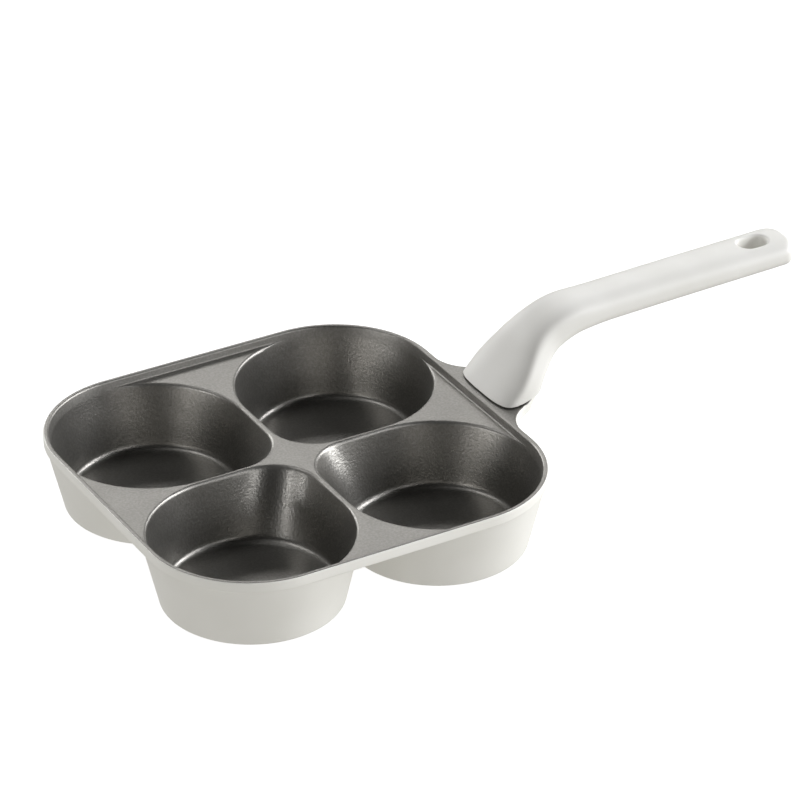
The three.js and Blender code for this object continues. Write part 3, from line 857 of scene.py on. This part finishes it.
rows = [handle_skin(foot_start(FOOT_EDGE, share), section, FOOT_EDGE, share) for share in FOOT_SHARES]
for step in np.radians(np.linspace(0, 90, FOOT_EDGE_STEPS + 1)):
    inset = FOOT_EDGE * (1 - math.sin(step))
    start = foot_start(inset, 1.0) + FOOT_EDGE * (1 - math.cos(step))
    rows.append(handle_skin(start, section, inset))
patch_start = HANDLE_LENGTH - END_PATCH
along = np.linspace(0, 1, SWEEP_STEPS + 1)[1:, None]
grip = handle_skin(start[None, :] * (1 - along) + patch_start * along, section[None, :])
handle_sweep = np.concatenate([np.stack(rows), grip])
print(f"handle: {handle_sweep.shape[0]} sections of {SECTION_STEPS} points, {HANDLE_LENGTH:.1f} mm long")

# %% [markdown]
# The end of the grip has an oblong hang hole with rounded edges. Cutting it with a Boolean would leave
# long thin faces in the highlight, so the end is a patch of its own: lines run from the outline of the
# end over the top to the hole, down through it and back along the underside. On the side of the pan,
# their first points are those of the last section of the sweep.

# %% End of the grip with the hang hole
END_ROUNDING = 7.0
END_SOFTENING = 1.6
END_TRIM = 0.1
HOLE_HALF_LENGTH = 7.5
HOLE_RADIUS = 5.3
HOLE_EDGE = 1.3
HOLE_FROM_END = 17.2
SIDE_POINTS = 9
BOW_POINTS = 17
SHEET_POINTS = 15
LIP_POINTS = 7
hole_at = HANDLE_LENGTH - HOLE_FROM_END
tip_at = HANDLE_LENGTH - END_TRIM


def end_share(length, rounding):
    """Share of the section that is left near the tip: a superellipse over the rounding's length."""
    past = np.clip((length - tip_at + rounding) / rounding, 0, 1)
    return (1 - past ** GRIP_POWER) ** (1 / GRIP_POWER)


def grip_height(length, y, thickness):
    """Height of the grip's skin over its centre line at a length and a distance y from the middle."""
    half = between_stations(HALF_WIDTH, length) * end_share(length, END_ROUNDING)
    ratio = np.clip(np.abs(y) / np.maximum(half, TINY), 0, 1)
    thick = between_stations(thickness, length) * end_share(length, END_SOFTENING)
    return thick * (1 - ratio ** GRIP_POWER) ** (1 / GRIP_POWER)


def on_grip(length, y, height):
    """Point at a length along the grip, a distance y sideways and a height square to the centre line."""
    x, z, angle = handle_line(length)
    return np.stack([x - np.sin(angle) * height, y + 0.0 * x, z + np.cos(angle) * height], -1)


side = np.linspace(patch_start, tip_at - END_ROUNDING, SIDE_POINTS)
bow = np.radians(np.linspace(0, 90, BOW_POINTS))[1:]
tip = tip_at - END_ROUNDING + END_ROUNDING * np.sin(bow) ** (2 / GRIP_POWER)
tip_y = between_stations(HALF_WIDTH, tip) * np.cos(bow) ** (2 / GRIP_POWER)
tip_y[-1] = 0.0
right_edge = np.concatenate([side, tip])
right_y = np.concatenate([between_stations(HALF_WIDTH, side), tip_y])
base_turn = section[SECTION_STEPS // 2::-1]
base_y = between_stations(HALF_WIDTH, patch_start)
base_y = base_y * np.sign(np.cos(base_turn)) * np.abs(np.cos(base_turn)) ** (2 / GRIP_POWER)
edge_at = np.concatenate([right_edge, right_edge[-2::-1], np.full(len(base_y) - 1, patch_start)])
edge_y = np.concatenate([right_y, -right_y[-2::-1], base_y[1:]])

bearing = np.arctan2(edge_y, edge_at - hole_at)
c, s = np.abs(np.cos(bearing)), np.abs(np.sin(bearing))
flat = HOLE_HALF_LENGTH - HOLE_RADIUS
straight_part = HOLE_RADIUS * c <= flat * s
round_part = flat * c + np.sqrt(np.maximum(HOLE_RADIUS ** 2 - (flat * s) ** 2, 0))
hole = np.where(straight_part, HOLE_RADIUS / np.maximum(s, TINY), round_part)
edge = np.hypot(edge_y, edge_at - hole_at)

reach_share = 1 - np.linspace(0, 1, SHEET_POINTS)[::-1] ** 2
sheet_start = (hole + HOLE_EDGE)[:, None]
sheet_reach = sheet_start + (edge - hole - HOLE_EDGE)[:, None] * reach_share[None, :]
lip = np.radians(np.linspace(0, 90, LIP_POINTS))
lip_reach = hole[:, None] + HOLE_EDGE * (1 - np.sin(lip))[None, :]
lip_drop = HOLE_EDGE * (1 - np.cos(lip))[None, :]


def end_rows(thickness, sign):
    """Rows from the outline over one side of the grip and into the hole's rounded edge."""
    reach = np.concatenate([sheet_reach[:, ::-1], lip_reach[:, 1:]], 1)
    drop = np.concatenate([0 * sheet_reach, 0 * hole[:, None] + lip_drop[:, 1:]], 1)
    length = hole_at + reach * np.cos(bearing)[:, None]
    y = reach * np.sin(bearing)[:, None]
    length[:, 0], y[:, 0] = edge_at, edge_y
    return on_grip(length, y, sign * (grip_height(length, y, thickness) - drop))


handle_end = np.concatenate([end_rows(OVER, 1.0), end_rows(UNDER, -1.0)[:, ::-1]], 1)
print(f"hang hole: {2 * HOLE_HALF_LENGTH:.1f} by {2 * HOLE_RADIUS:.1f} mm")
print(f"end of the grip: {handle_end.shape[0]} lines of {handle_end.shape[1]} points")

# %% [markdown]
# The handle is moulded from phenolic resin filled with mineral powder, in the ivory of the pan. It gives
# the eye a satin, faintly waxy white, with less gloss than the lacquer and a very fine texture that the
# spark-eroded mould leaves. That texture is about a tenth of a millimetre; it is drawn coarser so that
# it shows.

# %% Phenolic moulding
MOULD_GRAIN_MM = 0.8
MOULD_DEPTH_MM = 0.1
PHENOLIC_CLOUD_MM = 25.0
phenolic = ivory_finish(
    "phenolic_moulded_ivory", MOULD_GRAIN_MM, MOULD_DEPTH_MM, 0.06, PHENOLIC_CLOUD_MM,
    colours=("#e6e5e0", "#ebeae6"), roughness=(0.42, 0.50), ior=1.55,
)
print("made", phenolic.name)

# %% [markdown]
# The sweep and the end of the grip share the points of one section, so they weld to one closed skin. Two
# separate pieces would show a line there, which a moulding doesn't have.

# %% Handle
handle = make_piece(
    "egg_pan_handle", [(handle_sweep, 0), (handle_end, 0)], [phenolic], "handle",
)

# %% [markdown]
# Under the rise, a counterbore lets the screw and its washer in. It is round and small, and lies on the
# side away from the eye, so here a Boolean with a turned cutter is the quick way; the mesh keeps the
# result.

# %% Counterbore for the screw
BORE_RADIUS = 4.3
BORE_FLOOR = -4.2
BORE_MOUTH = -12.0
BORE_STEPS = 48
SCREW_AT = 20.5
x, z, angle = handle_line(np.array(SCREW_AT))
round_turn = np.linspace(0, 2 * math.pi, BORE_STEPS + 1)[None, :]
radius = np.array([0.0, BORE_RADIUS, BORE_RADIUS, 0.0])[:, None]
depth = np.array([BORE_FLOOR, BORE_FLOOR, BORE_MOUTH, BORE_MOUTH])[:, None] + 0.0 * round_turn
along = radius * np.cos(round_turn)
bore = np.stack([
    x + along * math.cos(angle) - depth * math.sin(angle),
    radius * np.sin(round_turn),
    z + along * math.sin(angle) + depth * math.cos(angle),
], -1)
cutter = make_piece("screw_bore", [(bore, 0)], [phenolic], "handle")
cut = handle.modifiers.new("counterbore", "BOOLEAN")
cut.object = cutter
cut.operation = "DIFFERENCE"
cut.solver = "EXACT"
bpy.context.view_layer.update()
whole = handle.evaluated_get(bpy.context.evaluated_depsgraph_get())
bored = bpy.data.meshes.new_from_object(whole)
handle.modifiers.clear()
handle.data = bored
bored.set_sharp_from_angle(angle=SHARP_ANGLE)
bpy.data.objects.remove(cutter)
print(f"{handle.name} with its bore: {len(bored.polygons)} faces")

# %% [markdown]
# The seam holds a thin gasket, drawn matt and nearly black, so that the seam under the handle's foot
# shows as a thin dark line; a fine noise shifts its shade a little. The CAD solid has the right shape
# already, and so have those of the screw, the washer and the discs, so only their finishes are made here.

# %% Dark gasket in the seam
GASKET_SPECKLE_MM = 2.0
gasket_black, tree, output = new_material("gasket_seam_black")
place = add_node(tree, "ShaderNodeTexCoord")
gasket_speckle = add_node(
    tree, "ShaderNodeTexNoise",
    [("Scale", per_metre(GASKET_SPECKLE_MM)), ("Detail", 2.0)],
    [("Vector", place.outputs["Object"])],
)
tint = add_node(tree, "ShaderNodeValToRGB", (), [("Fac", gasket_speckle.outputs["Fac"])])
# nearly black, so that the seam under the foot shows as a thin dark line
tint.color_ramp.elements[0].color = linear("#262523")
tint.color_ramp.elements[1].color = linear("#3a3936")
skin = add_node(
    tree, "ShaderNodeBsdfPrincipled",
    [("Roughness", 0.7), ("IOR", 1.41)],
    [("Base Color", tint.outputs["Color"])],
)
tree.links.new(skin.outputs["BSDF"], output.inputs["Surface"])
print("made", gasket_black.name)

# %% [markdown]
# The screw and its washer are steel, plated with zinc in a bath. It gives the eye a bright, cool grey
# metal whose gloss changes from grain to grain of the zinc. One noise makes both the shade and the
# gloss, because on the real plating they change together.

# %% Zinc-plated screw
SPANGLE_MM = 1.2
zinc, tree, output = new_material("steel_zinc_plated")
place = add_node(tree, "ShaderNodeTexCoord")
spangle = add_node(
    tree, "ShaderNodeTexNoise",
    [("Scale", per_metre(SPANGLE_MM)), ("Detail", 3.0)],
    [("Vector", place.outputs["Object"])],
)
tint = add_node(tree, "ShaderNodeValToRGB", (), [("Fac", spangle.outputs["Fac"])])
tint.color_ramp.elements[0].color = linear("#b3b6ba")
tint.color_ramp.elements[1].color = linear("#d2d4d6")
gloss = add_node(
    tree, "ShaderNodeMapRange",
    [("To Min", 0.22), ("To Max", 0.38)],
    [("Value", spangle.outputs["Fac"])],
)
skin = add_node(
    tree, "ShaderNodeBsdfPrincipled",
    [("Metallic", 1.0)],
    [("Base Color", tint.outputs["Color"]), ("Roughness", gloss.outputs["Result"])],
)
tree.links.new(skin.outputs["BSDF"], output.inputs["Surface"])
print("made", zinc.name)

# %% [markdown]
# The induction discs in the bases are stainless steel, faced on a lathe. It gives the eye a satin grey
# with fine rings, the marks of the tool. Real marks are about a fifth of a millimetre apart; they are
# drawn coarser so that they show. Four materials could each have their own middle, but one finish serves
# all discs: the place is folded over the pan's two middle lines, so the rings run round each disc.

# %% Turned steel discs
TOOL_MARK_MM = 0.7
MARK_DEPTH_MM = 0.05
# a ring wave of scale 1 repeats every pi / 10 units
RING_WAVE = 2 * math.pi / 20
turned, tree, output = new_material("stainless_steel_turned")
place = add_node(tree, "ShaderNodeTexCoord")
to_pan = add_node(
    tree, "ShaderNodeVectorMath",
    [("operation", "SUBTRACT"), (1, (PAN_X * MM, 0.0, 0.0))],
    [(0, place.outputs["Object"])],
)
folded = add_node(
    tree, "ShaderNodeVectorMath",
    [("operation", "ABSOLUTE")],
    [(0, to_pan.outputs["Vector"])],
)
to_disc = add_node(
    tree, "ShaderNodeVectorMath",
    [("operation", "SUBTRACT"), (1, (CUP_MID * MM, CUP_MID * MM, 0.0))],
    [(0, folded.outputs["Vector"])],
)
rings = add_node(
    tree, "ShaderNodeTexWave",
    [
        ("wave_type", "RINGS"), ("rings_direction", "Z"),
        ("Scale", RING_WAVE * per_metre(TOOL_MARK_MM)), ("Distortion", 0.4),
    ],
    [("Vector", to_disc.outputs["Vector"])],
)
tint = add_node(tree, "ShaderNodeValToRGB", (), [("Fac", rings.outputs["Fac"])])
tint.color_ramp.elements[0].color = linear("#a9abad")
tint.color_ramp.elements[1].color = linear("#c3c4c4")
relief = add_node(
    tree, "ShaderNodeBump",
    [("Strength", 0.3), ("Distance", MARK_DEPTH_MM * MM)],
    [("Height", rings.outputs["Fac"])],
)
skin = add_node(
    tree, "ShaderNodeBsdfPrincipled",
    [("Metallic", 1.0), ("Roughness", 0.34)],
    [("Base Color", tint.outputs["Color"]), ("Normal", relief.outputs["Normal"])],
)
tree.links.new(skin.outputs["BSDF"], output.inputs["Surface"])
print("made", turned.name)

# %% [markdown]
# Each CAD node that stays in view now gets its finish in place of the plain one that it came with.

# %% Finishes of the CAD solids
finishes = {"handle_gasket": gasket_black, "handle_screw": zinc, "spring_washer": zinc}
for place_name in ("front", "right", "left", "back"):
    finishes["base_disc_" + place_name] = turned
for node_name, finish in finishes.items():
    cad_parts[node_name].data.materials.clear()
    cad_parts[node_name].data.materials.append(finish)
print("finished CAD nodes:", sorted(finishes))

# %% [markdown]
# The floor is plain white paper that glows a little, as on a light table, so it takes no shadow, as in a
# cut-out product picture. Only the camera sees it: a glowing floor would wash out the dark insides of
# the cups.

# %% Floor
FLOOR_SIDE = 3.0
FLOOR_LEVEL = -0.0003
FLOOR_GLOW = 0.9
paper, tree, output = new_material("white_paper_sweep")
skin = add_node(
    tree, "ShaderNodeBsdfPrincipled",
    [
        ("Base Color", linear("#9a9a98")), ("Roughness", 0.9),
        ("Emission Color", linear("#ffffff")), ("Emission Strength", FLOOR_GLOW),
    ],
)
tree.links.new(skin.outputs["BSDF"], output.inputs["Surface"])
corner = FLOOR_SIDE * np.array([[-1, -1], [1, -1], [1, 1], [-1, 1]])
sweep_mesh = bpy.data.meshes.new("studio_floor")
sweep_mesh.from_pydata([(*xy, FLOOR_LEVEL) for xy in corner.tolist()], [], [(0, 1, 2, 3)])
sweep_mesh.materials.append(paper)
floor = bpy.data.objects.new("studio_floor", sweep_mesh)
floor.visible_diffuse = False
floor.visible_glossy = False
bpy.context.scene.collection.objects.link(floor)
print(f"floor {2 * FLOOR_SIDE:.0f} m wide")

# %% [markdown]
# The room is dim above the table and brighter below its level, mostly in front, where white paper would
# throw light back. That light reaches the ivory outsides and the underside of the handle but not the
# insides of the cups, so the two can be set apart. Above, the room is a little brighter behind the pan,
# and darkest overhead, so the cup floors stay nearly black. An image of a studio could do this too, but
# a few smooth steps over the direction need no file and have no hard edges.

# %% Light of the room
SKY_LOW, SKY_FRONT, SKY_HIGH = 0.67, 0.39, 0.12
SKY_UNDER, SKY_TOP = 0.42, 0.1
UNDER_FROM, UNDER_TO = -0.8, -0.35
TOP_FROM, TOP_TO = 0.55, 0.78
HORIZON = 0.1
world = bpy.data.worlds.new("studio_sky")
world.use_nodes = True
sky = world.node_tree
background = sky.nodes["Background"]
direction = add_node(sky, "ShaderNodeTexCoord")
parts = add_node(sky, "ShaderNodeSeparateXYZ", (), [(0, direction.outputs["Generated"])])
behind = add_node(
    sky, "ShaderNodeMath",
    [("operation", "MULTIPLY_ADD"), (1, SKY_HIGH), (2, SKY_HIGH)],
    [(0, parts.outputs["Y"])],
)
above = add_node(
    sky, "ShaderNodeMapRange",
    [
        ("interpolation_type", "SMOOTHSTEP"), ("From Min", TOP_FROM), ("From Max", TOP_TO),
        ("To Min", 1.0), ("To Max", SKY_TOP),
    ],
    [("Value", parts.outputs["Z"])],
)
high = add_node(
    sky, "ShaderNodeMath",
    [("operation", "MULTIPLY")],
    [(0, behind.outputs["Value"]), (1, above.outputs["Result"])],
)
front = add_node(
    sky, "ShaderNodeMath",
    [("operation", "MULTIPLY_ADD"), (1, -SKY_LOW * SKY_FRONT), (2, SKY_LOW)],
    [(0, parts.outputs["Y"])],
)
below = add_node(
    sky, "ShaderNodeMapRange",
    [
        ("interpolation_type", "SMOOTHSTEP"), ("From Min", UNDER_FROM), ("From Max", UNDER_TO),
        ("To Min", SKY_UNDER),
    ],
    [("Value", parts.outputs["Z"]), ("To Max", front.outputs["Value"])],
)
level = add_node(
    sky, "ShaderNodeMapRange",
    [("interpolation_type", "SMOOTHSTEP"), ("From Min", -HORIZON), ("From Max", HORIZON)],
    [("Value", parts.outputs["Z"]), ("To Min", below.outputs["Result"]), ("To Max", high.outputs["Value"])],
)
sky.links.new(level.outputs["Result"], background.inputs["Strength"])
background.inputs["Color"].default_value = linear("#fffdf8")
bpy.context.scene.world = world
bpy.context.scene.view_settings.view_transform = "Standard"
print("made", world.name)

# %% [markdown]
# Soft boxes stand round the pan, four metres off, so that they light near and far cups alike. The keys
# on the right draw the highlights in the cups, the panels behind light the web and the rim, and the weak
# fills and the narrow strip on the left lift the outsides and the foot of the handle. One large box
# could light it all, but the highlights in the cups are mirror images of the lamps, and their shapes ask
# for several.

# %% Lamps
LAMP_FROM = 4.2
COOL, WHITE = "#fcfdff", "#ffffff"
# name, azimuth and elevation in degrees, width and height in metres, watts, colour
LAMPS = (
    ("key_right", -34.0, 19.0, 1.8, 1.65, 88.0, COOL),
    ("key_behind", 6.0, 17.0, 1.2, 1.5, 36.0, COOL),
    ("key_high", -12.0, 31.0, 1.2, 1.2, 84.0, COOL),
    ("key_low", -20.0, 8.0, 1.8, 0.75, 6.0, COOL),
    ("key_front", -55.0, 18.0, 1.2, 1.5, 9.0, COOL),
    ("panel_behind", 105.0, 18.0, 2.4, 1.05, 58.0, WHITE),
    ("panel_above", 75.0, 34.0, 4.8, 0.9, 48.0, WHITE),
    ("panel_top", 80.0, 62.0, 1.8, 0.9, 6.0, WHITE),
    ("panel_left", 150.0, 58.0, 1.5, 0.9, 24.0, WHITE),
    ("fill_low", 180.0, 8.0, 1.8, 0.6, 23.0, WHITE),
    ("fill_front", -80.0, 18.0, 1.5, 1.2, 18.0, WHITE),
    ("strip_left", 201.0, 17.0, 0.36, 1.65, 14.0, WHITE),
)
for name, azimuth, elevation, width, height, power, colour in LAMPS:
    a, e = math.radians(azimuth), math.radians(elevation)
    toward = np.array([math.cos(a) * math.cos(e), math.sin(a) * math.cos(e), math.sin(e)])
    lamp = bpy.data.lights.new(name, "AREA")
    lamp.shape = "RECTANGLE"
    lamp.size = width
    lamp.size_y = height
    lamp.energy = power
    lamp.color = linear(colour)[:3]
    lamp_object = bpy.data.objects.new(name, lamp)
    lamp_object.location = in_frame([0.0, 0.0, 0.0]) + LAMP_FROM * toward
    lamp_object.rotation_euler = Vector(toward).to_track_quat("Z", "Y").to_euler()
    bpy.context.scene.collection.objects.link(lamp_object)
    print(f"{name}: {power} W at {np.round(lamp_object.location, 2)}")
